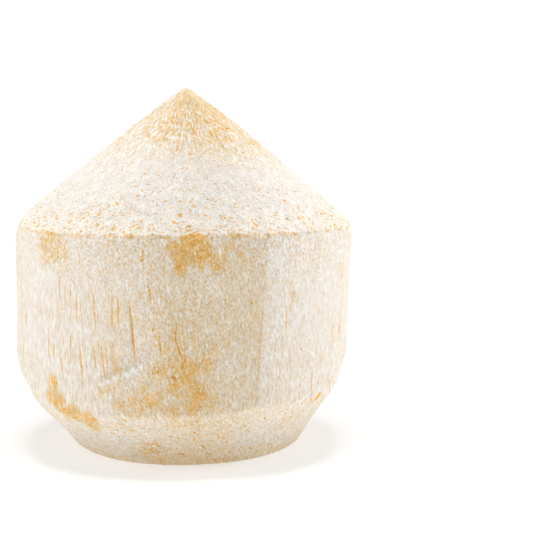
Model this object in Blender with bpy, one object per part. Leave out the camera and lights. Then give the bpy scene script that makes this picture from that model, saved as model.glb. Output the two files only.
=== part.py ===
"""A young green coconut, pared for drinking: one solid husk with a pointed crown.

The green skin and most of the husk are cut away. What is left is an upright drum of white
husk, cut to a cone above and to a narrower heel below, and it stands on a flat base.
Metres, +Z up, front towards -Y, origin at the middle of the base. An azimuth is measured
in degrees from the front (-Y), positive towards +X.
"""

import math

import bmesh
import bpy

MM = 0.001

# Heights above the base. An edge that isn't level is given as (azimuth, height) pairs.
APEX_HEIGHT = 123.9 * MM          # where the crown's cone would end, were it not blunted
SHOULDER_EDGE = (
    (-90, 77.8 * MM),
    (-45, 75.4 * MM),
    (30, 75.9 * MM),
    (90, 76.0 * MM),
    (180, 76.4 * MM),
)
HEEL_EDGE = (
    (-74, 27.5 * MM),
    (-48, 19.4 * MM),
    (10, 20.8 * MM),
    (26, 22.8 * MM),
    (55, 23.0 * MM),
    (76, 31.5 * MM),
    (104, 28.0 * MM),
    (144, 22.0 * MM),
    (188, 21.0 * MM),
)

# Plan of the body: each edge between two knife strokes as (azimuth, radius), and the
# radius of curvature of the stroke that runs from it to the next edge.
LEFT_STROKE = 58.2 * MM
RIGHT_STROKE = 57.1 * MM
FLAT_STROKE = 300.0 * MM
STROKES = (
    (-132.0, 58.0 * MM, LEFT_STROKE),
    (-4.0, 58.0 * MM, FLAT_STROKE),
    (23.0, 60.2 * MM, RIGHT_STROKE),
    (104.0, 57.1 * MM, FLAT_STROKE),
    (144.0, 60.6 * MM, FLAT_STROKE),
    (188.0, 60.6 * MM, FLAT_STROKE),
)
LOWER_TAPER = 0.6 * MM            # how much narrower the body is at the heel's edge
STROKE_LEAN = 3.0                 # degrees by which the strokes turn from heel to shoulder

# The flat base
BASE_RADIUS = 38.6 * MM
BASE_OFFSET = 2.3 * MM            # its middle lies this far to the right

# The axis leans a little to the right on the way up.
AXIS_LEAN = 1.9 * MM

# Rounding of the edges, as (azimuth, radius) pairs where it varies
TIP_ROUND = 2.8 * MM
BASE_ROUND = 3.0 * MM
SHOULDER_ROUND = (
    (-90, 14.0 * MM),
    (-40, 1.0 * MM),
    (40, 1.0 * MM),
    (90, 8.0 * MM),
    (140, 1.0 * MM),
    (220, 1.0 * MM),
)
HEEL_ROUND = (
    (-90, 16.0 * MM),
    (-40, 1.0 * MM),
    (40, 1.0 * MM),
    (90, 6.0 * MM),
    (140, 1.0 * MM),
    (220, 1.0 * MM),
)

# How far each cut bulges out between its edges
CROWN_BULGE = ((-90, 0.1 * MM), (0, 0.3 * MM), (90, 1.0 * MM), (180, 0.3 * MM))
HEEL_BULGE = 0.3 * MM

# How far, in degrees, the plan's edges are blended away on the crown and on the heel
BLEND_FRONT = 18.0
BLEND_BACK = 4.0
BLEND_SAMPLES = 9
BLEND_REACH = 0.18                # share of the cut, from its edge, over which they fade

# Divisions of the surface
COLUMN_STEP = 4                   # degrees, and every edge's azimuth is a multiple of it
BASE_ROUND_STEPS = 3
HEEL_STEPS = 5
HEEL_ROUND_STEPS = 6
BODY_STEPS = 8
SHOULDER_ROUND_STEPS = 6
CROWN_STEPS = 14
TIP_ROUND_STEPS = 5
ARC_LIMIT = 0.48                  # share of a straight run that one rounding may use up
SHARP_ANGLE = 15.0                # degrees between faces from which an edge is shown sharp

HUSK_COLOUR = (0.83, 0.72, 0.56, 1.0)
HUSK_ROUGHNESS = 0.85


def smooth_step(value):
    """Ease from 0 to 1 as value runs from 0 to 1, level at both ends."""
    value = min(max(value, 0.0), 1.0)
    return value * value * (3.0 - 2.0 * value)


def turn_between(start, end):
    """Degrees from one azimuth forward to another, from 0 up to 360."""
    return (end - start) % 360.0


def point_at(azimuth, radius):
    """Plan position of a point at an azimuth and a distance from the axis."""
    angle = math.radians(azimuth)
    return radius * math.sin(angle), -radius * math.cos(angle)


def plan_radius(azimuth):
    """Distance from the axis to the body's outline in plan, along one azimuth."""
    for index, (start, start_radius, curvature) in enumerate(STROKES):
        end, end_radius, _ = STROKES[(index + 1) % len(STROKES)]
        if turn_between(start, azimuth) < turn_between(start, end):
            break
    x0, y0 = point_at(start, start_radius)
    x1, y1 = point_at(end, end_radius)
    chord = math.hypot(x1 - x0, y1 - y0)
    depth = math.sqrt(curvature ** 2 - (chord / 2) ** 2)
    inward_x, inward_y = -(y1 - y0) / chord, (x1 - x0) / chord
    centre_x = (x0 + x1) / 2 + inward_x * depth
    centre_y = (y0 + y1) / 2 + inward_y * depth
    along_x, along_y = point_at(azimuth, 1.0)
    reach = along_x * centre_x + along_y * centre_y
    return reach + math.sqrt(reach ** 2 - centre_x ** 2 - centre_y ** 2 + curvature ** 2)


def blended_radius(azimuth, share):
    """Outline radius with its edges blended away, by how far share is from the edge."""
    facing_back = (1.0 - math.cos(math.radians(azimuth))) / 2
    widest = BLEND_FRONT + (BLEND_BACK - BLEND_FRONT) * smooth_step(facing_back)
    width = widest * smooth_step((1.0 - share) / BLEND_REACH)
    offsets = [width * (2 * k / (BLEND_SAMPLES - 1) - 1) for k in range(BLEND_SAMPLES)]
    return sum(plan_radius(azimuth + offset) for offset in offsets) / BLEND_SAMPLES


def value_at(azimuth, pairs):
    """A value that varies around the husk, eased from each (azimuth, value) pair to the next."""
    for index, (start, start_value) in enumerate(pairs):
        end, end_value = pairs[(index + 1) % len(pairs)]
        if turn_between(start, azimuth) < turn_between(start, end):
            break
    share = turn_between(start, azimuth) / turn_between(start, end)
    return start_value + (end_value - start_value) * smooth_step(share)


def base_radius(azimuth):
    """Distance from the axis to the base's rim, which is a circle off the axis."""
    along_x, _ = point_at(azimuth, 1.0)
    reach = along_x * BASE_OFFSET
    return reach + math.sqrt(reach ** 2 - BASE_OFFSET ** 2 + BASE_RADIUS ** 2)


def rounded_corner(before, corner, after, radius, steps):
    """Points of the arc that rounds a corner of the meridian, both ends included."""
    to_before = (before[0] - corner[0], before[1] - corner[1])
    to_after = (after[0] - corner[0], after[1] - corner[1])
    length_before, length_after = math.hypot(*to_before), math.hypot(*to_after)
    a = (to_before[0] / length_before, to_before[1] / length_before)
    b = (to_after[0] / length_after, to_after[1] / length_after)
    half = math.acos(a[0] * b[0] + a[1] * b[1]) / 2
    tangent = min(radius / math.tan(half), ARC_LIMIT * length_before, ARC_LIMIT * length_after)
    radius = tangent * math.tan(half)
    middle = (a[0] + b[0], a[1] + b[1])
    scale = radius / math.sin(half) / math.hypot(*middle)
    centre = (corner[0] + middle[0] * scale, corner[1] + middle[1] * scale)
    start = (corner[0] + a[0] * tangent, corner[1] + a[1] * tangent)
    end = (corner[0] + b[0] * tangent, corner[1] + b[1] * tangent)
    first = math.atan2(start[1] - centre[1], start[0] - centre[0])
    sweep = math.atan2(end[1] - centre[1], end[0] - centre[0]) - first
    sweep = (sweep + math.pi) % (2 * math.pi) - math.pi
    return [
        (centre[0] + radius * math.cos(first + sweep * k / steps),
         centre[1] + radius * math.sin(first + sweep * k / steps))
        for k in range(steps + 1)
    ]


def straight_run(start, end, steps):
    """Points strictly between two ends."""
    return [
        (start[0] + (end[0] - start[0]) * k / steps, start[1] + (end[1] - start[1]) * k / steps)
        for k in range(1, steps)
    ]


def with_bulge(point, start, end, bulge):
    """Move a point of a cut outwards, most at the middle between the cut's two edges."""
    run = (end[0] - start[0], end[1] - start[1])
    length = math.hypot(*run)
    share = ((point[0] - start[0]) * run[0] + (point[1] - start[1]) * run[1]) / length ** 2
    share = min(max(share, 0.0), 1.0)
    out = 4 * bulge * share * (1 - share) / length
    return point[0] + run[1] * out, point[1] - run[0] * out


def meridian(azimuth):
    """The husk's profile along one azimuth, from the base's rim up to the blunt tip."""
    outline = plan_radius(azimuth)
    centre = (0.0, 0.0)
    rim = (base_radius(azimuth), 0.0)
    heel = (outline - LOWER_TAPER, value_at(azimuth, HEEL_EDGE))
    shoulder = (outline, value_at(azimuth, SHOULDER_EDGE))
    apex = (0.0, APEX_HEIGHT)
    mirrored = (-shoulder[0], shoulder[1])
    heel_round = value_at(azimuth, HEEL_ROUND)
    shoulder_round = value_at(azimuth, SHOULDER_ROUND)
    crown_bulge = value_at(azimuth, CROWN_BULGE)

    at_rim = rounded_corner(centre, rim, heel, BASE_ROUND, BASE_ROUND_STEPS)
    at_heel = rounded_corner(rim, heel, shoulder, heel_round, HEEL_ROUND_STEPS)
    at_shoulder = rounded_corner(heel, shoulder, apex, shoulder_round, SHOULDER_ROUND_STEPS)
    at_tip = rounded_corner(shoulder, apex, mirrored, TIP_ROUND, 2 * TIP_ROUND_STEPS)

    points = list(at_rim)
    points += straight_run(at_rim[-1], at_heel[0], HEEL_STEPS)
    points += at_heel
    points += straight_run(at_heel[-1], at_shoulder[0], BODY_STEPS)
    points += at_shoulder
    points += straight_run(at_shoulder[-1], at_tip[0], CROWN_STEPS)
    points += at_tip[:TIP_ROUND_STEPS]

    shaped = []
    for radius, height in points:
        if height >= shoulder[1]:
            share = (APEX_HEIGHT - height) / (APEX_HEIGHT - shoulder[1])
            blended = blended_radius(azimuth, share)
            point = (radius * blended / outline, height)
            radius, height = with_bulge(point, shoulder, apex, crown_bulge)
        elif height <= heel[1]:
            share = height / heel[1]
            radius += (blended_radius(azimuth, share) - outline) * share
            if share > 0.0:
                radius, height = with_bulge((radius, height), rim, heel, HEEL_BULGE)
        shaped.append((radius, max(height, 0.0)))
    tip_height = at_tip[TIP_ROUND_STEPS][1]
    return shaped, tip_height


def placed(azimuth, radius, height):
    """Position of a surface point, with the strokes' turn and the axis's lean."""
    bottom, top = value_at(azimuth, HEEL_EDGE), value_at(azimuth, SHOULDER_EDGE)
    share = (height - bottom) / (top - bottom)
    turn = STROKE_LEAN * (min(max(share, 0.0), 1.0) - 0.5)
    x, y = point_at(azimuth + turn, radius)
    return x + AXIS_LEAN * height / APEX_HEIGHT, y, height


def husk_mesh():
    """Loft the meridians into one closed surface, centred over the origin."""
    azimuths = range(-180, 180, COLUMN_STEP)
    columns = [meridian(azimuth) for azimuth in azimuths]
    rows = len(columns[0][0])
    mesh = bmesh.new()
    grid = [
        [mesh.verts.new(placed(azimuth, *point)) for point in points]
        for azimuth, (points, _) in zip(azimuths, columns)
    ]
    tip = mesh.verts.new(placed(0.0, 0.0, columns[0][1]))
    for index, column in enumerate(grid):
        following = grid[(index + 1) % len(grid)]
        for row in range(rows - 1):
            mesh.faces.new((column[row], following[row], following[row + 1], column[row + 1]))
        mesh.faces.new((column[-1], following[-1], tip))
    mesh.faces.new([column[0] for column in reversed(grid)])

    xs = [vertex.co.x for vertex in mesh.verts]
    ys = [vertex.co.y for vertex in mesh.verts]
    middle = (-(min(xs) + max(xs)) / 2, -(min(ys) + max(ys)) / 2, 0.0)
    bmesh.ops.translate(mesh, verts=mesh.verts[:], vec=middle)
    bmesh.ops.recalc_face_normals(mesh, faces=mesh.faces[:])
    data = bpy.data.meshes.new("pared_husk")
    mesh.to_mesh(data)
    mesh.free()
    return data


def husk_material():
    """Creamy white cut husk, dry and matt."""
    material = bpy.data.materials.new("cut_husk")
    material.use_nodes = True
    shader = material.node_tree.nodes["Principled BSDF"]
    shader.inputs["Base Color"].default_value = HUSK_COLOUR
    shader.inputs["Roughness"].default_value = HUSK_ROUGHNESS
    shader.inputs["Metallic"].default_value = 0.0
    return material


def clear_scene():
    """Remove whatever the scene holds."""
    for item in list(bpy.data.objects):
        bpy.data.objects.remove(item, do_unlink=True)


def main():
    """Build the pared coconut in a collection of its own."""
    clear_scene()
    collection = bpy.data.collections.new("pared_green_coconut")
    bpy.context.scene.collection.children.link(collection)
    data = husk_mesh()
    data.materials.append(husk_material())
    husk = bpy.data.objects.new("pared_husk", data)
    collection.objects.link(husk)
    data.shade_smooth()
    data.set_sharp_from_angle(angle=math.radians(SHARP_ANGLE))


main()
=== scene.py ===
"""Looks of a trimmed young green coconut: its cut husk, its loose fibres and the studio.

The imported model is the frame. The plain solid is surveyed from its axis, and a finer surface
with the knife's waves, the grain of the cut fibre, slits and torn places stands for it.
Lengths are metres, +Z is up and the photographed side faces -Y. An azimuth is in degrees
from the front (-Y), positive towards +X.
"""

from __future__ import annotations

import logging
import math
import random
from collections.abc import Iterable
from dataclasses import dataclass
from enum import Enum

import bpy
import numpy as np
from mathutils import Matrix, Vector, noise
from mathutils.bvhtree import BVHTree

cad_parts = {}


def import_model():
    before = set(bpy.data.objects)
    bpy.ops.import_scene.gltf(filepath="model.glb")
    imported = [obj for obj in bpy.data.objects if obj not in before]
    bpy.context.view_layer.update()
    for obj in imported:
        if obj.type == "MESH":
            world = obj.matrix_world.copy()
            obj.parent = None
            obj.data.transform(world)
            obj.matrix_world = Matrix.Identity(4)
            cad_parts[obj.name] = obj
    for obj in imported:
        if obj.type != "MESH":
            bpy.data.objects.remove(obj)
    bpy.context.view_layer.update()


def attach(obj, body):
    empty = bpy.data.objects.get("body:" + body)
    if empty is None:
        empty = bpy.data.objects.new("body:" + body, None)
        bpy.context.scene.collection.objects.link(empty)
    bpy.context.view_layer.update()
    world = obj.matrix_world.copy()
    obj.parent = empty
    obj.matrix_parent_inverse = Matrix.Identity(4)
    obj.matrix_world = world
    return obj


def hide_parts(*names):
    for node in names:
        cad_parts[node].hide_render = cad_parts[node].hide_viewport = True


MM = 0.001
PHOTO_SIDE = 533

Tree = bpy.types.NodeTree
Socket = bpy.types.NodeSocket

log = logging.getLogger("coconut")


def linear(hex_colour: str) -> tuple[float, float, float, float]:
    """Turn an sRGB hex colour into the linear colour that a shader takes.

    Args:
        hex_colour: Six hex digits, such as "F4E9D8".

    Returns:
        Linear red, green and blue, and an alpha of 1.
    """
    channels = [int(hex_colour[start:start + 2], 16) / 255 for start in (0, 2, 4)]
    straight = [c / 12.92 if c <= 0.04045 else ((c + 0.055) / 1.055) ** 2.4 for c in channels]
    return (*straight, 1.0)


def feed(tree: Tree, node: bpy.types.Node, inputs: dict) -> None:
    """Give inputs of a node, by name or number, their values or the sockets that feed them."""
    for key, value in inputs.items():
        if isinstance(value, Socket):
            tree.links.new(value, node.inputs[key])
        else:
            node.inputs[key].default_value = value


def add_node(
    tree: Tree, kind: str, inputs: dict | None = None, output: str | int = 0, **settings: object
) -> Socket:
    """Add a shader node with its settings, its values and its links.

    Args:
        tree: The node tree that the node goes in.
        kind: The node's type name after the words ShaderNode.
        inputs: For each input, by name or number, a value or the socket that feeds it.
        output: Name or number of the output that is wanted.
        **settings: Properties of the node itself.

    Returns:
        The output's socket.
    """
    node = tree.nodes.new("ShaderNode" + kind)
    for name, value in settings.items():
        setattr(node, name, value)
    feed(tree, node, inputs or {})
    return node.outputs[output]


def combine(tree: Tree, operation: str, *values: float | Socket, clamp: bool = False) -> Socket:
    """Put values together by one step of arithmetic, held between 0 and 1 if clamp is set."""
    inputs = dict(enumerate(values))
    return add_node(tree, "Math", inputs, operation=operation, use_clamp=clamp)


def speckle(tree: Tree, place: Socket, size: float, detail: float = 0.0) -> Socket:
    """Noise from about 0.3 to 0.7 whose spots have the given size in metres."""
    return add_node(tree, "TexNoise", {"Vector": place, "Scale": 1 / size, "Detail": detail})


def select_only(piece: bpy.types.Object) -> None:
    """Make one object the only selected one, and the active one."""
    bpy.ops.object.select_all(action="DESELECT")
    piece.select_set(True)
    bpy.context.view_layer.objects.active = piece


def ease(share: np.ndarray) -> np.ndarray:
    """Ease from 0 to 1 as the share goes from 0 to 1, level at both ends."""
    share = np.clip(share, 0.0, 1.0)
    return share * share * (3.0 - 2.0 * share)


def turn_from(azimuths: np.ndarray, azimuth: float) -> np.ndarray:
    """Signed degrees from one azimuth to each of many, the short way round."""
    return (azimuths - azimuth + 180.0) % 360.0 - 180.0


def noise_field(points: np.ndarray, grain: float, octaves: int, seed: float) -> np.ndarray:
    """Fractal noise at many points.

    Args:
        points: Positions, one row each, in metres.
        grain: Size of the largest lumps, in metres.
        octaves: How many finer layers are added up.
        seed: Shifts the pattern, so that two fields differ.

    Returns:
        One value for each point, about -1 to 1.
    """
    places = (points / grain + seed).tolist()
    return np.array([noise.fractal(place, 1.0, 2.0, octaves) for place in places])


def hump(offset: np.ndarray, width_below: float, width_above: float) -> np.ndarray:
    """Smooth hump that is 1 at no offset and has its own width on either side."""
    return np.exp(-(offset / np.where(offset < 0.0, width_below, width_above)) ** 2)


class Cut(Enum):
    """The husk's four cut surfaces, from the middle of the base up, each with its rows."""

    BASE = 12
    HEEL = 31
    BODY = 59
    CROWN = 79


@dataclass(frozen=True)
class Slit:
    """A slit that has opened between two fibres.

    Attributes:
        azimuth: Degrees from the front, at the middle of its length.
        low: Height of its lower end.
        high: Height of its upper end.
        depth: How deep it is at its middle.
        lean: Degrees by which its upper end stands further right than its lower one.
        colour: How much browner it is than the husk beside it.
    """

    azimuth: float
    low: float
    high: float
    depth: float = 0.14 * MM
    lean: float = 0.0
    colour: float = 0.72


@dataclass(frozen=True)
class Patch:
    """A stained place on the husk.

    Attributes:
        azimuth: Degrees from the front.
        height: Height of its middle.
        half_width: Half its width along the surface.
        half_height: Half its height.
        amber: How much browner its middle is than the husk around it.
        grain: How much rougher its middle is.
        lean: Degrees by which it leans to the right on the way up.
        soft: How gently it fades out.
    """

    azimuth: float
    height: float
    half_width: float
    half_height: float
    amber: float
    grain: float = 0.05
    lean: float = 0.0
    soft: float = 1.0


@dataclass(frozen=True)
class Ledge:
    """The ragged ledge on the lower left of the front, above which some pith tore away.

    Attributes:
        azimuth: Degrees from the front, at its middle.
        reach: Degrees to which it reaches on its left and on its right.
        start: Azimuth at its lower end.
        low: Height of its lower end.
        climb: How far it climbs with each degree.
        depth: How deep the torn place lies behind it.
        fade: Height over which the torn place runs out.
        edge: Height over which the ledge rises.
        lip: How far its lip stands out.
        ragged: How far it wanders up and down.
    """

    azimuth: float = -19.0
    reach: tuple[float, float] = (7.5, 6.5)
    start: float = -25.0
    low: float = 30.7 * MM
    climb: float = 5.1 / 11.0 * MM
    depth: float = 0.8 * MM
    fade: float = 9.0 * MM
    edge: float = 0.35 * MM
    lip: float = 0.15 * MM
    ragged: float = 0.4 * MM


@dataclass(frozen=True)
class ZoneMix:
    """One of the values that the finish reads, added up from the husk's zones.

    Attributes:
        name: Name of the value.
        shares: What each zone adds where it is full.
        limits: Its lowest and its highest value.
    """

    name: str
    shares: dict[str, float]
    limits: tuple[float, float] = (-math.inf, math.inf)

    def value(self, zones: dict[str, np.ndarray]) -> np.ndarray:
        """The value at each point, from how full each zone is there."""
        total = sum(share * zones[zone] for zone, share in self.shares.items())
        return np.clip(total, *self.limits)


@dataclass
class HuskSurvey:
    """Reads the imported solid's outline along rays from its axis.

    Attributes:
        node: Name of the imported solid.
        levels: Number of heights that are sampled along each azimuth.
        shoulder_normal: Degrees above level at which the shoulder's edge faces.
        heel_normal: Degrees above level at which the heel's edge faces.
        rim_normal: Degrees above level at which the base's rim faces.
        clearance: How far the first and last samples stay from the base and the tip.
        crowding: How much closer the rows lie at the edges of a cut, from 0 to 1.
    """

    node: str = "pared_husk"
    levels: int = 420
    shoulder_normal: float = 25.0
    heel_normal: float = -20.0
    rim_normal: float = -65.0
    clearance: float = 0.02 * MM
    crowding: float = 0.6

    def __post_init__(self) -> None:
        """Take the solid's triangles and its axis, from the origin to its tip."""
        mesh = bpy.data.objects[self.node].data
        corners = [vertex.co.copy() for vertex in mesh.vertices]
        self.tree = BVHTree.FromPolygons(corners, [face.vertices[:] for face in mesh.polygons])
        self.tip = max(corners, key=lambda corner: corner.z)

    def on_axis(self, height: float) -> Vector:
        """Point of the leaning axis at a height."""
        return self.tip * (height / self.tip.z)

    def outline(self, azimuth: float) -> np.ndarray:
        """Outline of the solid in the half plane at one azimuth.

        Args:
            azimuth: Degrees from the front.

        Returns:
            Rows of radius and height, from the middle of the base to the tip.
        """
        angle = math.radians(azimuth)
        outward = Vector((math.sin(angle), -math.cos(angle), 0.0))
        points = [(0.0, 0.0)]
        for height in np.linspace(self.clearance, self.tip.z - self.clearance, self.levels):
            start = self.on_axis(float(height))
            hit = self.tree.ray_cast(start, outward)[0]
            if hit is not None:
                points.append(((hit - start).length, float(height)))
        points.append((0.0, self.tip.z))
        return np.array(points)

    def farthest(self, points: np.ndarray, normal: float) -> int:
        """Number of the outline's point that lies farthest out along a direction."""
        angle = math.radians(normal)
        return int(np.argmax(points @ np.array((math.cos(angle), math.sin(angle)))))

    def rows(self, azimuth: float) -> np.ndarray:
        """Points along each cut of the husk at one azimuth, closer together at its edges.

        Args:
            azimuth: Degrees from the front.

        Returns:
            Rows of radius, height and distance along the outline.
        """
        points = self.outline(azimuth)
        run = np.r_[0.0, np.cumsum(np.hypot(*np.diff(points, axis=0).T))]
        edges = [self.farthest(points, normal)
                 for normal in (self.rim_normal, self.heel_normal, self.shoulder_normal)]
        stops = run[[0, *edges, len(points) - 1]]
        places = []
        for cut, start, end in zip(Cut, stops[:-1], stops[1:]):
            share = np.arange(cut.value) / cut.value
            share = share - self.crowding * np.sin(math.tau * share) / math.tau
            places.append(start + share * (end - start))
        places = np.r_[np.concatenate(places), run[-1]]
        radii = np.interp(places, run, points[:, 0])
        return np.c_[radii, np.interp(places, run, points[:, 1]), places]


@dataclass(frozen=True)
class CutHuskFinish:
    """Fresh coconut husk cut with a knife, dry on the surface and undyed.

    It is a mat of pale fibres in a corky pith. The eye sees a dull creamy white, grainy,
    with amber where the pits between fibres let the colour of the pith through and deeper
    amber where the cut has browned. The mesh's own values say how amber each place is, how
    strong its grain is and how far the grain is drawn out into streaks. The colour also gets
    painted shade in the fine hollows, painted light on the crests and a painted highlight on
    the clean fibres, and the mesh carries more painted shade and light as a factor on it.

    Attributes:
        ramp: Colours from the cleanest fibre to browned pith, each with its amber value.
        grain: Size of a grain in the render; the fibres are about 0.3 mm, drawn coarser to show.
        grain_gain: Turns the noise's small swing into the swing that the mesh asks for.
        streak_stretch: How much longer the streaks are than the grains.
        pit: Size of a pit between fibre ends.
        crumb: Size of the crumbs of pith that give the surface its relief.
        stroke: Width of a short clean fibre that lies on the surface.
        fibre_web: Size of the loops that longer ones make.
        lump: Size of the clusters of grains.
        cloud: Size of the slow changes of tone.
        relief: Depth of the finest relief, which is left to the bump.
        hollow_shade: How much painted shade darkens the fine hollows and painted light lightens
            the crests.
        stroke_light: How much a clean fibre adds to the height that the painted shade and light
            read, which paints a highlight on it.
        pit_edge: How sharply a pit starts.
        stroke_lean: Degrees by which the short fibres lean.
        stroke_draw: How much the short fibres are drawn out, as a factor on their noise.
        stroke_range: Noise values between which a short fibre starts.
        web_range: Half widths of a long fibre, from full to none, in noise values.
        web_kept: Noise values between which the long fibres start.
        amber_shares: What pits, strokes, crumbs and slits add to the amber.
        height_shares: What grains, pits and strokes add to the height of the crumbs.
        drift_shares: What the lumps and the clouds add to the amber.
    """

    ramp: tuple[tuple[float, str], ...] = (
        (0.0, "F3F0EB"), (0.2, "EEE4D6"), (0.35, "EAD8BD"), (0.55, "EAC992"),
        (0.85, "ECB862"), (1.0, "E9AE48"), (1.25, "DE9E38"),
    )
    grain: float = 0.42 * MM
    grain_gain: float = 16.0
    streak_stretch: float = 5.0
    pit: float = 1.10 * MM
    crumb: float = 0.8 * MM
    stroke: float = 0.6 * MM
    fibre_web: float = 1.5 * MM
    lump: float = 2.4 * MM
    cloud: float = 15.0 * MM
    relief: float = 0.22 * MM
    hollow_shade: float = 0.32
    stroke_light: float = 0.30
    pit_edge: float = 15.0
    stroke_lean: float = 26.0
    stroke_draw: float = 0.3
    stroke_range: tuple[float, float] = (0.62, 0.71)
    web_range: tuple[float, float] = (0.012, 0.03)
    web_kept: tuple[float, float] = (0.53, 0.6)
    amber_shares: tuple[float, float, float, float] = (0.75, -0.16, -0.16, 1.0)
    height_shares: tuple[float, float, float] = (0.5, -0.2, 0.3)
    drift_shares: tuple[float, float] = (0.05, 0.04)

    def material(self) -> bpy.types.Material:
        """Build the husk's material."""
        made = bpy.data.materials.new("cut_coconut_husk")
        made.use_nodes = True
        tree = made.node_tree
        shader = tree.nodes["Principled BSDF"]
        carried = self.carried(tree)
        grains, pits = self.grains(tree, carried), self.pits(tree, carried)
        strokes = self.strokes(tree, carried)
        crumbs = speckle(tree, carried["fibre_place"], self.crumb)

        swing = combine(tree, "MULTIPLY", carried["grain"], self.grain_gain)
        low = combine(tree, "SUBTRACT", 0.5, grains)
        amber = combine(tree, "MULTIPLY_ADD", low, swing, carried["amber"])
        extras = (pits, strokes, crumbs, carried["slit"])
        amber = self.add_up(tree, amber, zip(self.amber_shares, extras))
        amber = self.add_up(tree, amber, self.drifts(tree))
        place = combine(tree, "DIVIDE", amber, self.ramp[-1][0])
        colour = add_node(tree, "ValToRGB", {0: place})
        self.fill(colour.node.color_ramp)
        # Painted shade and light: the colour is darkened in the fine hollows, lightened on the
        # crests and on the clean fibres, and scaled by the painted shade and light that the mesh
        # carries.
        both = combine(tree, "ADD", grains, crumbs)
        both = self.add_up(tree, both, [(self.stroke_light, strokes)])
        shade = self.shade(tree, carried, both)
        shaded = add_node(tree, "VectorMath", {0: colour, "Scale": shade}, operation="SCALE")

        height = self.add_up(tree, crumbs, zip(self.height_shares, (grains, pits, strokes)))
        depth = combine(tree, "MULTIPLY", carried["relief"], self.relief)
        bump = add_node(tree, "Bump", {"Height": height, "Distance": depth, "Strength": 1.0})
        feed(tree, shader, {
            "Base Color": shaded, "Normal": bump, "Roughness": 0.85, "IOR": 1.45,
            "Specular IOR Level": 0.2, "Subsurface Weight": 0.1,
            "Subsurface Radius": (1.0, 0.75, 0.5), "Subsurface Scale": 0.8 * MM,
        })
        return made

    def carried(self, tree: Tree) -> dict[str, Socket]:
        """The values and the places that the mesh carries, by name."""
        outputs = dict.fromkeys(
            ("amber", "grain", "streak", "pits", "relief", "slit", "shade"), "Fac")
        outputs |= dict.fromkeys(("fibre_place", "streak_place"), "Vector")
        return {name: add_node(tree, "Attribute", output=output, attribute_name=name)
                for name, output in outputs.items()}

    def add_up(
        self, tree: Tree, start: Socket, parts: Iterable[tuple[float, Socket]]
    ) -> Socket:
        """Add shares of several values to one.

        Args:
            tree: The material's nodes.
            start: The value that the others are added to.
            parts: Each further value's share and its socket.

        Returns:
            The sum's socket.
        """
        total = start
        for share, value in parts:
            total = combine(tree, "MULTIPLY_ADD", value, share, total)
        return total

    def shade(self, tree: Tree, carried: dict[str, Socket], height: Socket) -> Socket:
        """Painted shade and light as a factor on the colour.

        It is below 1 in the fine hollows and above 1 on the crests.

        Args:
            tree: The material's nodes.
            carried: What the mesh carries.
            height: Height of the finest relief, about 1 on average.

        Returns:
            The factor's socket.
        """
        above = combine(tree, "SUBTRACT", height, 1.0)
        depth = combine(tree, "MULTIPLY", carried["relief"], 0.5 * self.hollow_shade)
        return combine(tree, "MULTIPLY_ADD", above, depth, carried["shade"])

    def fill(self, ramp: bpy.types.ColorRamp) -> None:
        """Put the finish's colours on a colour ramp."""
        while len(ramp.elements) < len(self.ramp):
            ramp.elements.new(0.5)
        for stop, (place, colour) in zip(ramp.elements, self.ramp):
            stop.position = place / self.ramp[-1][0]
            stop.color = linear(colour)

    def grains(self, tree: Tree, carried: dict[str, Socket]) -> Socket:
        """Height of the finest grain, about 0.5, drawn out to streaks where the mesh says."""
        drawn_out = add_node(
            tree, "Mapping",
            {"Vector": carried["streak_place"], "Scale": (1.0, 1.0, 1.0 / self.streak_stretch)},
        )
        layers = [speckle(tree, at, self.grain) for at in (carried["fibre_place"], drawn_out)]
        return add_node(
            tree, "Mix", {0: carried["streak"], 2: layers[0], 3: layers[1]}, data_type="FLOAT")

    def pits(self, tree: Tree, carried: dict[str, Socket]) -> Socket:
        """Small amber pits between fibre ends, more of them where the mesh says."""
        field = speckle(tree, carried["fibre_place"], self.pit, 1.0)
        below = combine(tree, "SUBTRACT", carried["pits"], field)
        return combine(tree, "MULTIPLY", below, self.pit_edge, clamp=True)

    def strokes(self, tree: Tree, carried: dict[str, Socket]) -> Socket:
        """Thin clean fibres: long ones that come and go, and short straight ones."""
        long, short = self.long_strokes(tree, carried), self.short_strokes(tree, carried)
        return combine(tree, "MAXIMUM", long, short)

    def long_strokes(self, tree: Tree, carried: dict[str, Socket]) -> Socket:
        """Fibres that wander over the surface and come and go, from 0 to 1."""
        shift = (0.31, 0.17, 0.23)
        moved = add_node(
            tree, "Mapping", {"Vector": carried["fibre_place"], "Location": shift})
        off = combine(tree, "SUBTRACT", speckle(tree, moved, self.fibre_web, 1.0), 0.5)
        off = combine(tree, "ABSOLUTE", off)
        inner, outer = self.web_range
        line = add_node(tree, "MapRange", {0: off, 1: inner, 2: outer, 3: 1.0, 4: 0.0})
        least, full = self.web_kept
        kept = speckle(tree, moved, self.fibre_web / 0.7)
        kept = add_node(tree, "MapRange", {0: kept, 1: least, 2: full})
        return combine(tree, "MULTIPLY", line, kept)

    def short_strokes(self, tree: Tree, carried: dict[str, Socket]) -> Socket:
        """Short straight fibres that lean the way the knife ran, from 0 to 1."""
        turn = (0.0, math.radians(self.stroke_lean), 0.0)
        aslant = add_node(
            tree, "Mapping", {"Vector": carried["fibre_place"], "Rotation": turn})
        drawn_out = add_node(
            tree, "Mapping", {"Vector": aslant, "Scale": (1.0, 1.0, self.stroke_draw)})
        short = speckle(tree, drawn_out, self.stroke)
        least, full = self.stroke_range
        return add_node(tree, "MapRange", {0: short, 1: least, 2: full})

    def drifts(self, tree: Tree) -> list[tuple[float, Socket]]:
        """Clusters of grains and slow changes of tone, each with its share of the amber."""
        place = add_node(tree, "TexCoord", output="Object")
        made = []
        for share, size in zip(self.drift_shares, (self.lump, self.cloud)):
            field = speckle(tree, place, size, 2.0)
            swing = add_node(tree, "MapRange", {0: field, 1: 0.3, 2: 0.7, 3: -1.0, 4: 1.0})
            made.append((share, swing))
        return made


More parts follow.
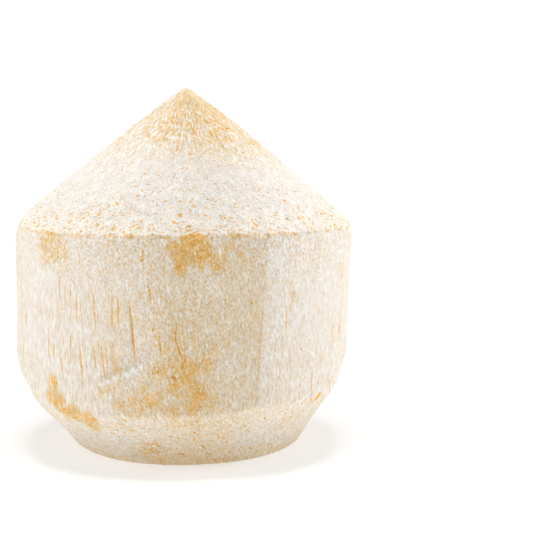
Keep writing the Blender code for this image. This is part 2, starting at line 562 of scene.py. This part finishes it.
@dataclass(frozen=True)
class LooseFibreFinish:
    """Single husk fibres torn loose by the knife, nearly white and a little shiny.

    Attributes:
        pale: Colour of a clean fibre.
        warm: Colour of one that has browned a little.
        patch: Size of the changes between the two.
        roughness: Spread of its highlight.
    """

    pale: str = "FBF7EE"
    warm: str = "F2DFC0"
    patch: float = 4.0 * MM
    roughness: float = 0.55

    def material(self) -> bpy.types.Material:
        """Build the fibres' material."""
        made = bpy.data.materials.new("loose_coir_fibre")
        made.use_nodes = True
        tree = made.node_tree
        shader = tree.nodes["Principled BSDF"]
        place = add_node(tree, "TexCoord", output="Object")
        tone = speckle(tree, place, self.patch, 1.0)
        colour = add_node(
            tree, "Mix", {0: tone, 6: linear(self.pale), 7: linear(self.warm)}, 2,
            data_type="RGBA",
        )
        feed(tree, shader, {"Base Color": colour, "Roughness": self.roughness})
        return made


@dataclass
class ParedHusk:
    """The husk's visible surface.

    Attributes:
        columns: Number of columns around.
        wave: Depth of the knife's slow waves.
        wave_length: Their size.
        dimple: Depth of the hollows that are about 5 mm across.
        ripple: Depth of the ridges along the fibres.
        ripple_width: Their width.
        lump: Height of the lumps where fibres are cut across.
        lump_size: Their size.
        edge_wear: How deep the edges between cuts are chipped.
        edge_reach: How far from an edge the wear goes.
        foot: Height above the base up to which the surface keeps to the solid.
        gather: Number of columns over which the grid gives way to a slit.
        pinch: How far the columns beside a slit close in on it, as a share of their pitch.
        ridge: Azimuths of the body's ridge at its lower and its upper end.
        ridge_ends: Heights of those ends.
        ridge_fade: Height over which its fine line runs out beyond them.
        torn: The torn place.
        tip_reach: Distance from the axis at which the streaks at the tip are a grain wide.
        smooth_tip: Distance from the axis within which the finest relief dies out.
        extra_slits: Number of shorter slits on the sides and the back.
        seed: Start of the random numbers.
        slits: The slits that the photographed side shows.
        patches: The stained places.
        mixes: The values that the finish reads.
    """

    columns: int = 540
    wave: float = 0.36 * MM
    wave_length: float = 20.0 * MM
    dimple: float = 0.12 * MM
    ripple: float = 0.10 * MM
    ripple_width: float = 2.2 * MM
    lump: float = 0.30 * MM
    lump_size: float = 2.2 * MM
    edge_wear: float = 0.35 * MM
    edge_reach: float = 1.0 * MM
    foot: float = 0.8 * MM
    gather: float = 4.0
    pinch: float = 0.45
    ridge: tuple[float, float] = (20.4, 24.0)
    ridge_ends: tuple[float, float] = (22.0 * MM, 76.0 * MM)
    ridge_fade: float = 4.0 * MM
    torn: Ledge = Ledge()
    tip_reach: float = 17.0 * MM
    smooth_tip: float = 9.0 * MM
    extra_slits: int = 62
    seed: int = 8

    slits: tuple[Slit, ...] = (
        Slit(-52.5, 48 * MM, 54 * MM, 0.08 * MM, colour=0.44),
        Slit(-48.0, 36 * MM, 46 * MM, 0.1 * MM),
        Slit(-45.5, 36 * MM, 42 * MM, 0.1 * MM, lean=-0.8),
        Slit(-42.5, 56 * MM, 66 * MM, 0.08 * MM, colour=0.50),
        Slit(-42.0, 32 * MM, 41 * MM, lean=-0.8),
        Slit(-38.0, 37 * MM, 45 * MM, 0.08 * MM, colour=0.50),
        Slit(-38.0, 54 * MM, 60 * MM),
        Slit(-35.5, 49 * MM, 57 * MM, 0.1 * MM),
        Slit(-34.0, 31 * MM, 43 * MM, lean=-1.0),
        Slit(-29.0, 34 * MM, 44 * MM, lean=-1.6),
        Slit(-29.0, 49 * MM, 59 * MM, lean=-0.8),
        Slit(-26.3, 33 * MM, 42 * MM, lean=-0.6),
        Slit(-23.0, 46 * MM, 60 * MM, 0.08 * MM, colour=0.50),
        Slit(-20.5, 48 * MM, 57 * MM),
        Slit(-16.5, 38 * MM, 56 * MM, 0.22 * MM, lean=-1.5, colour=0.88),
        Slit(-13.0, 68 * MM, 72 * MM, 0.08 * MM),
        Slit(-11.0, 56 * MM, 61 * MM, lean=-0.8),
        Slit(-8.0, 39 * MM, 46 * MM, 0.2 * MM, lean=-0.8),
        Slit(-3.4, 43 * MM, 49 * MM, 0.2 * MM, lean=0.5, colour=0.7),
        Slit(-2.4, 38.6 * MM, 43.5 * MM, 0.3 * MM, lean=-0.6, colour=1.0),
        Slit(-1.2, 35 * MM, 39.0 * MM, 0.3 * MM, lean=1.2, colour=0.8),
        Slit(28.5, 31 * MM, 36 * MM, 0.08 * MM, colour=0.50),
        Slit(30.5, 45 * MM, 53 * MM, 0.08 * MM, colour=0.50),
        Slit(32.5, 51 * MM, 58 * MM, 0.08 * MM, colour=0.38),
        Slit(36.5, 23 * MM, 30 * MM, 0.08 * MM, colour=0.50),
        Slit(42.0, 21 * MM, 33 * MM, 0.1 * MM, lean=-0.8, colour=0.53),
    )
    patches: tuple[Patch, ...] = (
        Patch(2.0, 71.0 * MM, 10.0 * MM, 6.0 * MM, 0.40, 0.016),
        Patch(-46.0, 70.0 * MM, 6.5 * MM, 6.0 * MM, 0.26, 0.02),
        Patch(-45.0, 24.5 * MM, 3.8 * MM, 6.0 * MM, 0.48, 0.03, lean=-25.0),
        Patch(-36.0, 18.5 * MM, 6.0 * MM, 4.0 * MM, 0.36, 0.03, lean=-30.0),
        Patch(-1.0, 35.0 * MM, 9.5 * MM, 14.0 * MM, 0.24, 0.012, soft=2.4),
        Patch(-8.0, 28.0 * MM, 18.0 * MM, 10.0 * MM, 0.34, 0.020, soft=2.2),
        Patch(46.5, 22.3 * MM, 1.3 * MM, 1.5 * MM, 0.65, 0.0, lean=20.0),
        Patch(4.0, 27.0 * MM, 5.0 * MM, 9.0 * MM, 0.04, 0.005),
        Patch(-24.0, 39.0 * MM, 4.0 * MM, 4.0 * MM, 0.08, 0.01),
        Patch(-13.0, 6.5 * MM, 6.0 * MM, 4.0 * MM, 0.12, 0.02),
        Patch(-25.0, 80.0 * MM, 12.0 * MM, 5.0 * MM, 0.07, 0.02),
        Patch(150.0, 60.0 * MM, 11.0 * MM, 7.0 * MM, 0.24, 0.02),
        Patch(206.0, 33.0 * MM, 10.0 * MM, 10.0 * MM, 0.26, 0.02),
        Patch(110.0, 27.0 * MM, 8.0 * MM, 5.0 * MM, 0.24, 0.02),
        Patch(262.0, 72.0 * MM, 7.0 * MM, 5.0 * MM, 0.24, 0.02),
    )
    mixes: tuple[ZoneMix, ...] = (
        # Partly painted: the body's front, the heel and the heel's front are browner partly for
        # their own tone and partly as painted shade, where they get less light; the ledge's lip is
        # paler as a painted highlight and the place just above it browner as painted shade.
        ZoneMix("amber", {
            "all": 0.08, "body": 0.15, "body_front": 0.22, "body_back": 0.12,
            "heel": 0.24, "heel_front": 0.10, "heel_back": 0.06, "heel_rim": 0.14,
            "crown": 0.14, "crown_foot": 0.04, "browned_tip": 0.36, "body_stain": 1.0,
            "ragged": 0.03, "ledge_lip_and_highlight": -0.40, "ledge_shade": 0.05, "shoulder_line": 0.22,
        }),
        ZoneMix("grain", {
            "body": 0.04, "body_sides": 0.01, "body_top": 0.01, "heel": 0.04,
            "crown": 0.03, "crown_shoulder": 0.01, "crown_point": 0.06, "crumble": 1.0,
        }),
        ZoneMix("streak", {"body_streaks": 0.7, "point": 0.9}, (0.0, 0.9)),
        ZoneMix("pits", {
            "all": 0.27, "crown": 0.055, "crown_low": 0.045, "crown_low_left": 0.025,
            "near_shoulder": 0.01, "stain": 0.10, "tip": 0.04, "heel": 0.07, "ragged": 0.05,
        }, (0.0, 0.5)),
        ZoneMix("relief", {
            "all": 1.3, "crown": 0.1, "crown_tip": -0.1, "body_shoulder": 0.3,
            "heel": -0.4, "body_sides": -0.7, "crumble": 12.0,
        }),
        # Painted shade and light, a factor on the colour: darker in the lumps' hollows, the chips,
        # above the ledge, on the crown's middle and on the heel, most at its foot; lighter on the
        # lumps' crests, the ledge's lip, the crown and its shoulder.
        ZoneMix("shade", {
            "all": 1.0, "lumps": 0.05, "crown_lumps": 0.05, "crumble_lumps": 1.2,
            "ledge_lip_and_highlight": 0.15, "ledge_shade": -0.10, "chips": -0.05,
            "heel": -0.18, "heel_up": 0.15, "crown": 0.02, "crown_shoulder": 0.06,
            "crown_middle": -0.07,
        }),
    )

    def build(self, survey: HuskSurvey, finish: CutHuskFinish) -> bpy.types.Object:
        """Build the husk's surface in the solid's place.

        Args:
            survey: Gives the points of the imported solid.
            finish: The husk's finish.

        Returns:
            The finished object.
        """
        rows = sum(cut.value for cut in Cut)
        bpy.ops.object.select_all(action="DESELECT")
        bpy.ops.mesh.primitive_uv_sphere_add(
            segments=self.columns, ring_count=rows, radius=1.0, calc_uvs=False
        )
        husk = bpy.context.active_object
        husk.name = husk.data.name = "husk_surface"
        self.take_places(husk.data, rows)
        self.lay_on_solid(husk.data, survey)
        self.cut_relief(husk.data)
        self.store_values(husk.data)
        husk.data.materials.append(finish.material())
        husk.data.shade_smooth()
        return husk

    def take_places(self, mesh: bpy.types.Mesh, rows: int) -> None:
        """Note each point's column and row on the sphere that the surface starts as."""
        ball = np.empty(len(mesh.vertices) * 3)
        mesh.vertices.foreach_get("co", ball)
        ball = ball.reshape(-1, 3)
        turn = np.degrees(np.arctan2(ball[:, 0], -ball[:, 1])) % 360.0
        self.column = np.rint(turn * self.columns / 360.0).astype(int) % self.columns
        climb = np.arccos(np.clip(-ball[:, 2], -1.0, 1.0)) / math.pi
        self.row = np.rint(climb * rows).astype(int)

    def lay_on_solid(self, mesh: bpy.types.Mesh, survey: HuskSurvey) -> None:
        """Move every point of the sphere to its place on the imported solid."""
        pitch = 360.0 / self.columns
        table = np.array([survey.rows(pitch * column) for column in range(self.columns)])
        turns = np.repeat(np.arange(self.columns)[:, None] * pitch, table.shape[1], axis=1)
        self.depths = np.zeros_like(turns)
        self.slit_colours = np.zeros_like(turns)
        for slit in (*self.slits, *self.random_slits()):
            self.open_slit(slit, table[:, :, 1], turns)
        self.draw_ridge(table[:, :, 1], turns)
        turns = self.untangled(turns)

        share = turns / pitch
        before = np.floor(share).astype(int)
        share = (share - before)[:, :, None]
        rows = np.arange(table.shape[1])[None, :]
        table = (table[before % self.columns, rows] * (1.0 - share)
                 + table[(before + 1) % self.columns, rows] * share)
        self.radius, self.height, self.run = table[self.column, self.row].T
        self.azimuth = turns[self.column, self.row]
        self.edge_runs = {
            cut: table[self.column, edge, 2]
            for cut, edge in zip(Cut, np.cumsum([cut.value for cut in Cut]))
        }
        angle = np.radians(self.azimuth)
        self.points = np.outer(self.height, np.array(survey.tip[:]) / survey.tip.z)
        self.points[:, 0] += self.radius * np.sin(angle)
        self.points[:, 1] -= self.radius * np.cos(angle)
        mesh.vertices.foreach_set("co", self.points.ravel())
        mesh.update()

    def open_slit(self, slit: Slit, heights: np.ndarray, turns: np.ndarray) -> None:
        """Draw one column of the grid along a slit, and deepen and colour it there.

        Args:
            slit: The slit.
            heights: Height of each point of the grid.
            turns: Azimuth of each point of the grid, which is changed.
        """
        column = round(slit.azimuth * self.columns / 360.0) % self.columns
        share = (heights[column] - slit.low) / (slit.high - slit.low)
        line = slit.azimuth + slit.lean * (share - 0.5)
        near = 1.0 - ease(np.abs(share - 0.5) * 2.0 - 0.9)
        self.draw_line(column, line, near, turns)
        inside = np.sqrt(np.clip(4.0 * share * (1.0 - share), 0.0, 1.0))
        self.depths[column] = np.maximum(self.depths[column], slit.depth * inside)
        self.slit_colours[column] = np.maximum(self.slit_colours[column], slit.colour * inside)

    def draw_ridge(self, heights: np.ndarray, turns: np.ndarray) -> None:
        """Draw one column of the grid along the body's ridge, where a fine line shows."""
        column = round(sum(self.ridge) / 2.0 * self.columns / 360.0)
        height, (low, high) = heights[column], self.ridge_ends
        share = (height - low) / (high - low)
        line = self.ridge_line(height)
        near = ease((height - low) / self.ridge_fade + 1.0)
        near = near * ease((high - height) / self.ridge_fade + 1.0)
        self.draw_line(column, line, near, turns)
        fine = near * np.clip(0.4 - 0.8 * np.abs(share - 0.35), 0.0, 1.0)
        self.depths[column] = np.maximum(self.depths[column], 0.05 * MM * near)
        self.slit_colours[column] = np.maximum(self.slit_colours[column], fine)

    def ridge_line(self, heights: np.ndarray) -> np.ndarray:
        """Azimuth of the body's ridge at each height."""
        low, high = self.ridge_ends
        return self.ridge[0] + (self.ridge[1] - self.ridge[0]) * (heights - low) / (high - low)

    def draw_line(
        self, column: int, line: np.ndarray, near: np.ndarray, turns: np.ndarray
    ) -> None:
        """Shift the grid so that one column follows a line, with its neighbours close by.

        Args:
            column: Number of the column.
            line: Azimuth that the column takes at each row.
            near: How far the grid gives way at each row, from 0 to 1.
            turns: Azimuth of each point of the grid, which is changed.
        """
        pitch = 360.0 / self.columns
        centre = column * pitch
        shift = turn_from(line, centre) * near
        reach = int(3 * self.gather)
        for step in range(-reach, reach + 1):
            give = math.exp(-(step / self.gather) ** 2)
            close = math.copysign(self.pinch * pitch, step) * math.exp(-((abs(step) - 1) / 2) ** 2)
            close = close if step else 0.0
            turns[(column + step) % self.columns] += shift * give - close * near

    def untangled(self, turns: np.ndarray) -> np.ndarray:
        """The grid's azimuths with a least gap kept between neighbours."""
        pitch = 360.0 / self.columns
        gaps = np.diff(np.vstack([turns, turns[:1] + 360.0]), axis=0)
        gaps = np.maximum(gaps, 0.3 * pitch)
        gaps = gaps * (360.0 / gaps.sum(axis=0))
        steps = np.cumsum(gaps, axis=0)[:-1]
        kept = turns[:1] + np.vstack([np.zeros_like(turns[:1]), steps])
        return kept + (turns - kept).mean(axis=0)

    def random_slits(self) -> list[Slit]:
        """Shorter slits on the sides and the back."""
        chance = random.Random(self.seed)
        made = []
        for _ in range(self.extra_slits):
            low = chance.uniform(26.0, 60.0) * MM
            made.append(Slit(
                azimuth=chance.uniform(50.0, 302.0),
                low=low,
                high=low + chance.uniform(4.0, 12.0) * MM,
                depth=chance.uniform(0.06, 0.16) * MM,
                lean=chance.uniform(-1.2, 1.2),
                colour=chance.uniform(0.3, 0.8),
            ))
        return made

    def above(self, cut: Cut) -> np.ndarray:
        """Distance of each point beyond the upper edge of a cut, along the surface."""
        return self.run - self.edge_runs[cut]

    def in_patch(self, patch: Patch, ragged: np.ndarray) -> np.ndarray:
        """How far each point lies in a stained place with a ragged border, from 0 to 1."""
        across = np.radians(turn_from(self.azimuth, patch.azimuth)) * self.radius
        up = self.height - patch.height
        across = across - up * math.tan(math.radians(patch.lean))
        spread = (across / patch.half_width) ** 2 + (up / patch.half_height) ** 2
        return ease((1.2 - 0.75 * spread + 0.9 * ragged) / patch.soft)

    def cut_relief(self, mesh: bpy.types.Mesh) -> None:
        """Carve the waves, the ripples, the lumps, the slits, the torn step and the wear."""
        above_heel, above_shoulder = self.above(Cut.HEEL), self.above(Cut.BODY)
        widest = self.radius.max()
        along = np.c_[
            self.points[:, :2] / np.maximum(self.radius, 1.0 * MM)[:, None] * widest,
            self.height / 9.0,
        ]
        waves = noise_field(self.points, self.wave_length, 2, 3.1)
        ripples = noise_field(along, self.ripple_width, 2, 7.7)
        self.lumps = noise_field(self.points, self.lump_size, 3, 1.3)
        self.ragged = noise_field(self.points, 5.0 * MM, 4, 5.9)
        self.crown = ease(0.5 + above_shoulder / (1.0 * MM))
        self.heel = ease(0.5 - above_heel / (1.0 * MM))
        self.near_shoulder = np.exp(-(above_shoulder / (8.0 * MM)) ** 2)
        stained = [self.in_patch(patch, self.ragged) for patch in self.patches]
        self.stain = sum(patch.amber * share for patch, share in zip(self.patches, stained))
        self.crumble = sum(patch.grain * share for patch, share in zip(self.patches, stained))

        wear = np.exp(-(above_shoulder / self.edge_reach) ** 2)
        wear = np.maximum(wear, 0.6 * np.exp(-(above_heel / self.edge_reach) ** 2))
        self.chips = np.clip(-self.lumps * 2.2, 0.0, 1.0) * wear
        rough = np.clip(0.35 + 0.5 * self.crown + 0.4 * self.near_shoulder + 15.0 * self.crumble,
                        0.0, 1.5)
        lift = (
            waves * self.wave + self.ragged * self.dimple
            + ripples * self.ripple * (1.0 - 0.7 * self.crown)
            + self.lumps * self.lump * rough
            - self.torn_step()
            - self.depths[self.column, self.row]
            - self.chips * self.edge_wear
        )
        lift = lift * ease(self.height / self.foot)
        normals = np.empty(len(self.points) * 3)
        mesh.vertex_normals.foreach_get("vector", normals)
        moved = self.points + normals.reshape(-1, 3) * lift[:, None]
        moved[:, 2] = np.maximum(moved[:, 2], 0.0)
        mesh.vertices.foreach_set("co", moved.ravel())
        mesh.update()

    def torn_step(self) -> np.ndarray:
        """Depth above the torn place's ledge, with the zones of its lip, which gets a painted
        highlight, and of its painted shade.
        """
        torn, azimuth = self.torn, self.azimuth_signed()
        over = self.height - torn.low - (azimuth - torn.start) * torn.climb
        over = over - torn.ragged * self.ragged
        width = ease(hump(azimuth - torn.azimuth, *torn.reach) * 1.6)
        # The lip stands out and gets a painted highlight; the place above it gets painted shade.
        self.ledge_lip_and_highlight = width * hump(over + 0.2 * MM, 0.5 * MM, 0.45 * MM)
        self.ledge_shade = width * hump(over - 1.4 * MM, 0.7 * MM, 1.8 * MM)
        step = torn.depth * width * ease(over / torn.edge) * ease(1.0 - over / torn.fade)
        return step - torn.lip * self.ledge_lip_and_highlight

    def azimuth_signed(self) -> np.ndarray:
        """Azimuth of each point from -180 to 180 degrees."""
        return turn_from(self.azimuth, 0.0)

    def zones(self) -> dict[str, np.ndarray]:
        """How full each zone of the husk is at each point, from 0 to 1 for most of them."""
        azimuth, above_shoulder = self.azimuth_signed(), self.above(Cut.BODY)
        crown, heel, crumble = self.crown, self.heel, self.crumble
        body = 1.0 - np.maximum(crown, heel)
        # Past the body's ridge the front's zone drops, so the facet that faces the right gets less
        # brown: painted light.
        past_ridge = ease(0.5 + (azimuth - self.ridge_line(self.height)) / 1.5)
        front = hump(azimuth - 8.0, 38.0, 42.0) * (1.0 - 0.55 * past_ridge * (azimuth < 90.0))
        back = sum(hump(turn_from(azimuth, at), 26.0, 22.0) for at in (122.0, 200.0, 276.0))
        sides = 1.0 - hump(azimuth + 2.0, 22.0, 30.0) - 0.5 * back
        tip = ease((self.height - 91.0 * MM) / (24.0 * MM))
        point = ease((self.height - 92.0 * MM) / (16.0 * MM))
        lower_body = ease((70.0 * MM - self.height) / (16.0 * MM))
        crown_low = crown * ease(1.3 - above_shoulder / (24.0 * MM))
        return {
            "all": np.ones_like(azimuth),
            "body": body,
            "body_front": body * front,
            "body_back": body * back,
            "body_sides": body * sides,
            "body_top": body * np.exp(-(above_shoulder / (14.0 * MM)) ** 2),
            "body_shoulder": self.near_shoulder * (1.0 - crown),
            "body_streaks": body * sides * lower_body * (1.0 - 8.0 * crumble),
            "body_stain": self.stain * (1.0 - 0.8 * crown),
            "heel": heel,
            "heel_front": heel * front,
            "heel_back": heel * back,
            "heel_rim": heel * ease(1.0 - self.height / (8.0 * MM)),
            "heel_up": heel * ease(self.height / (22.0 * MM)),
            "crown": crown,
            "crown_foot": crown * np.exp(-(above_shoulder / (7.0 * MM)) ** 2),
            "crown_shoulder": crown * self.near_shoulder,
            "crown_low": crown_low,
            "crown_low_left": crown_low * hump(azimuth + 28.0, 26.0, 24.0),
            "crown_middle": crown * hump(azimuth - 6.0, 20.0, 24.0),
            "crown_point": crown * point,
            "crown_lumps": crown * self.lumps,
            "crumble": crumble,
            "crumble_lumps": crumble * self.lumps,
            "lumps": self.lumps,
            "chips": self.chips,
            "ragged": self.ragged,
            "stain": self.stain,
            "near_shoulder": self.near_shoulder,
            "shoulder_line": (hump(above_shoulder, 0.6 * MM, 0.5 * MM)
                              * ease(0.7 + 1.5 * self.ragged)),
            "ledge_lip_and_highlight": self.ledge_lip_and_highlight,
            "ledge_shade": self.ledge_shade,
            "tip": tip,
            "crown_tip": crown * tip,
            "browned_tip": crown * tip * (1.0 - 0.55 * hump(azimuth + 62.0, 40.0, 38.0)),
            "point": point,
        }

    def store_values(self, mesh: bpy.types.Mesh) -> None:
        """Store what the finish reads: how amber, how grainy and how streaky each point is."""
        zones = self.zones()
        # The shade value is painted shade and light, a factor on the colour.
        values = {mix.name: mix.value(zones) for mix in self.mixes}
        values["relief"] = values["relief"] * np.clip(self.radius / self.smooth_tip, 0.1, 1.0)
        values["slit"] = self.slit_colours[self.column, self.row]
        for name, value in values.items():
            layer = mesh.attributes.new(name, "FLOAT", "POINT")
            layer.data.foreach_set("value", value)
        for name, places in zip(("fibre_place", "streak_place"), self.fibre_places()):
            layer = mesh.attributes.new(name, "FLOAT_VECTOR", "POINT")
            layer.data.foreach_set("vector", places.ravel())

    def fibre_places(self) -> tuple[np.ndarray, np.ndarray]:
        """Places for the finish's grain and for its streaks.

        Returns:
            Two places for each point. The fibres run along their third value: straight up the
            body, towards the tip on the crown, and slanting where the knife ran on the heel.
            Along a fibre the streaks' first two values stay the same, so it is drawn out.
        """
        widest = self.radius.max()
        reach = widest * (np.maximum(self.radius, 0.5 * MM) / widest) ** 0.75
        above_heel, above_shoulder = self.above(Cut.HEEL), self.above(Cut.BODY)
        slant = np.minimum(above_heel, 0.0)
        angle = np.radians(self.azimuth) + 0.6 * slant / widest
        along = (slant / 3.0 + np.clip(above_heel, 0.0, self.run - above_shoulder) / 1.7)
        along = along + np.maximum(above_shoulder, 0.0) / 2.4
        drawn = widest + (self.tip_reach - widest) * ease((self.height - 78.0 * MM) / (12.0 * MM))
        return tuple(
            np.c_[out * np.sin(angle), -out * np.cos(angle), along] for out in (reach, drawn)
        )


@dataclass
class LooseFibres:
    """Small fibres that the knife tore loose, with most of each one sunk in the husk.

    They curl back into the surface, so that only short, low runs of them stand clear of it.

    Attributes:
        count: How many there are.
        length: Length of the shortest and of the longest.
        slimness: Half thickness of one at its root, as a share of its length.
        segments: Straight runs in one fibre.
        curl: Degrees that a fibre turns from one run to the next.
        stand: How steeply the flattest and the steepest one stand.
        sink: How deep a root sits in the husk.
        foot: Height below which none stand.
        top: Height above which none stand.
        seed: Start of the random numbers.
    """

    count: int = 700
    length: tuple[float, float] = (0.8 * MM, 3.0 * MM)
    slimness: float = 0.07
    segments: int = 6
    curl: float = 24.0
    stand: tuple[float, float] = (0.15, 0.55)
    sink: float = 0.08 * MM
    foot: float = 4.0 * MM
    top: float = 119.0 * MM
    seed: int = 21

    def model_one(self) -> bpy.types.Object:
        """Model one fibre of unit length, curling over as it rises, with its root at the origin."""
        bpy.ops.object.select_all(action="DESELECT")
        bpy.ops.mesh.primitive_circle_add(vertices=4, radius=self.slimness, fill_type="NGON")
        fibre = bpy.context.active_object
        fibre.name = "loose_fibre"
        step = 1.0 / self.segments
        bpy.ops.object.mode_set(mode="EDIT")
        bpy.ops.mesh.select_all(action="SELECT")
        centre = Vector((0.0, 0.0, 0.0))
        heading = 0.0
        for _ in range(self.segments):
            heading += math.radians(self.curl)
            move = Vector((math.sin(heading), 0.0, math.cos(heading))) * step
            bpy.ops.mesh.extrude_region_move(TRANSFORM_OT_translate={"value": move})
            centre = centre + move
            bpy.ops.transform.resize(value=(0.85, 0.85, 0.85), center_override=centre)
        bpy.ops.mesh.select_all(action="SELECT")
        bpy.ops.mesh.normals_make_consistent(inside=False)
        bpy.ops.object.mode_set(mode="OBJECT")
        return fibre

    def build(self, husk: bpy.types.Object, finish: LooseFibreFinish) -> bpy.types.Object:
        """Scatter copies of one fibre over the husk, more of them where it is grainy.

        Args:
            husk: The husk's visible surface.
            finish: The fibres' finish.

        Returns:
            One object with all the fibres.
        """
        chance = random.Random(self.seed)
        pattern = self.model_one()
        copies = []
        for root in self.choose_roots(husk.data, chance):
            vertex = husk.data.vertices[root]
            copy = pattern.copy()
            copy.data = pattern.data.copy()
            size = chance.uniform(*self.length)
            aside = Vector([chance.uniform(-1.0, 1.0) for _ in range(3)])
            aside = (aside - vertex.normal * aside.dot(vertex.normal)).normalized()
            stand = (vertex.normal * chance.uniform(*self.stand) + aside).normalized()
            lying = Matrix((vertex.normal, vertex.normal.cross(stand), stand)).transposed()
            lying = lying.to_4x4() @ Matrix.Rotation(math.pi + chance.uniform(-0.9, 0.9), 4, "Z")
            sink = vertex.co - vertex.normal * self.sink
            copy.data.transform(Matrix.Translation(sink) @ lying @ Matrix.Scale(size, 4))
            bpy.context.scene.collection.objects.link(copy)
            copies.append(copy)
        bpy.data.objects.remove(pattern, do_unlink=True)
        select_only(copies[0])
        for copy in copies:
            copy.select_set(True)
        bpy.ops.object.join()
        fibres = bpy.context.active_object
        fibres.name = fibres.data.name = "loose_fibres"
        fibres.data.materials.append(finish.material())
        fibres.data.shade_smooth()
        return fibres

    def choose_roots(self, mesh: bpy.types.Mesh, chance: random.Random) -> list[int]:
        """Numbers of the husk's points on which fibres stand."""
        places = np.empty(len(mesh.vertices) * 3)
        mesh.vertices.foreach_get("co", places)
        heights = places.reshape(-1, 3)[:, 2]
        radii = np.hypot(*places.reshape(-1, 3)[:, :2].T)
        grain = np.empty(len(mesh.vertices))
        mesh.attributes["grain"].data.foreach_get("value", grain)
        weight = grain ** 1.5 * radii
        weight[(heights < self.foot) | (heights > self.top)] = 0.0
        return chance.choices(range(len(weight)), weights=weight.tolist(), k=self.count)


@dataclass(frozen=True)
class Softbox:
    """A square softbox that faces the fruit.

    Attributes:
        name: Its name.
        place: Where it hangs.
        side: Side of its square.
        power: Its power in watts.
    """

    name: str
    place: tuple[float, float, float]
    side: float
    power: float

    def hang(self) -> None:
        """Hang the softbox, facing the middle of the fruit."""
        light = bpy.data.lights.new(self.name, "AREA")
        light.shape = "SQUARE"
        light.size = self.side
        light.energy = self.power
        holder = bpy.data.objects.new(self.name, light)
        bpy.context.scene.collection.objects.link(holder)
        holder.location = self.place
        aim = Vector((0.0, 0.0, 60.0 * MM)) - Vector(self.place)
        holder.rotation_euler = aim.to_track_quat("-Z", "Y").to_euler()


@dataclass
class Studio:
    """The pale floor, the soft lights and the camera.

    Attributes:
        camera_place: Where the camera stands.
        camera_pitch: Degrees that it looks down.
        camera_yaw: Degrees that it looks to the right.
        focal_pixels: Its focal length, in pixels of the photograph.
        floor_side: Side of the floor.
        floor_glow: Light that the floor adds near the fruit and far from it.
        floor_reach: Distances at which the floor's glow starts and stops growing.
        wall: Strength of the white wall around, and of the room above it.
        wall_top: Heights, on a unit sphere, between which the wall fades into the room.
        softboxes: The lights.
    """

    camera_place: tuple[float, float, float] = (-1.2 * MM, -382.5 * MM, 98.6 * MM)
    camera_pitch: float = 5.67
    camera_yaw: float = 4.50
    focal_pixels: float = 1086.0
    floor_side: float = 8.0
    floor_glow: tuple[float, float] = (0.52, 0.97)
    floor_reach: tuple[float, float] = (0.10, 1.00)
    wall: tuple[float, float] = (1.03, 0.12)
    wall_top: tuple[float, float] = (0.14, 0.26)
    softboxes: tuple[Softbox, ...] = (
        Softbox("left_softbox", (-0.81, -0.14, 0.30), 0.4, 2.3),
        Softbox("right_softbox", (0.83, 0.03, 0.30), 0.4, 2.8),
        Softbox("top_softbox", (0.0, -0.05, 0.95), 0.4, 6.2),
    )

    def build(self) -> None:
        """Set up the whole studio."""
        self.floor()
        self.world()
        for softbox in self.softboxes:
            softbox.hang()
        self.camera()
        bpy.context.scene.view_settings.view_transform = "Standard"

    def floor(self) -> bpy.types.Object:
        """Lay the pale, matt floor, which glows a little more the further it lies."""
        bpy.ops.object.select_all(action="DESELECT")
        bpy.ops.mesh.primitive_plane_add(size=self.floor_side)
        floor = bpy.context.active_object
        floor.name = "studio_floor"
        made = bpy.data.materials.new("white_paper_sweep")
        made.use_nodes = True
        tree = made.node_tree
        shader = tree.nodes["Principled BSDF"]
        place = add_node(tree, "TexCoord", output="Object")
        far = add_node(tree, "VectorMath", {0: place}, "Value", operation="LENGTH")
        (near, reach), (dim, bright) = self.floor_reach, self.floor_glow
        glow = add_node(tree, "MapRange", {0: far, 1: near, 2: reach, 3: dim, 4: bright})
        feed(tree, shader, {
            "Emission Strength": glow, "Emission Color": (1.0, 1.0, 1.0, 1.0),
            "Base Color": linear("C8C8C8"), "Roughness": 0.9, "Specular IOR Level": 0.1,
        })
        floor.data.materials.append(made)
        return floor

    def world(self) -> None:
        """Stand a white wall all around, under a dimmer room."""
        world = bpy.data.worlds.new("white_studio")
        world.use_nodes = True
        bpy.context.scene.world = world
        tree = world.node_tree
        facing = add_node(tree, "TexCoord", output="Generated")
        up = add_node(tree, "SeparateXYZ", {0: facing}, "Z")
        (low, high), (wall, room) = self.wall_top, self.wall
        strength = add_node(
            tree, "MapRange", {0: up, 1: low, 2: high, 3: wall, 4: room},
            interpolation_type="SMOOTHSTEP",
        )
        feed(tree, tree.nodes["Background"], {
            "Color": (1.0, 1.0, 1.0, 1.0), "Strength": strength,
        })

    def camera(self) -> None:
        """Place the camera at the photograph's viewpoint."""
        data = bpy.data.cameras.new("camera")
        data.sensor_width = 36.0
        data.lens = data.sensor_width * self.focal_pixels / PHOTO_SIDE
        data.clip_start = 0.01
        data.clip_end = 50.0
        camera = bpy.data.objects.new("camera", data)
        bpy.context.scene.collection.objects.link(camera)
        camera.location = self.camera_place
        camera.rotation_euler = (
            math.radians(90.0 - self.camera_pitch), 0.0, -math.radians(self.camera_yaw)
        )
        bpy.context.scene.camera = camera


def write_sizes() -> None:
    """Update the view layer, so that every object's place is current.
    """
    bpy.context.view_layer.update()


def main() -> None:
    """Load the frame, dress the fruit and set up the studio."""
    logging.basicConfig(level=logging.INFO, format="%(name)s: %(message)s")
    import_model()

    survey = HuskSurvey()
    husk = ParedHusk().build(survey, CutHuskFinish())
    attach(husk, "root")
    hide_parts(survey.node)
    log.info("%s: %d points", husk.name, len(husk.data.vertices))

    fibres = LooseFibres().build(husk, LooseFibreFinish())
    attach(fibres, "root")
    log.info("%s: %d points", fibres.name, len(fibres.data.vertices))

    Studio().build()
    write_sizes()


if __name__ == "__main__":
    main()
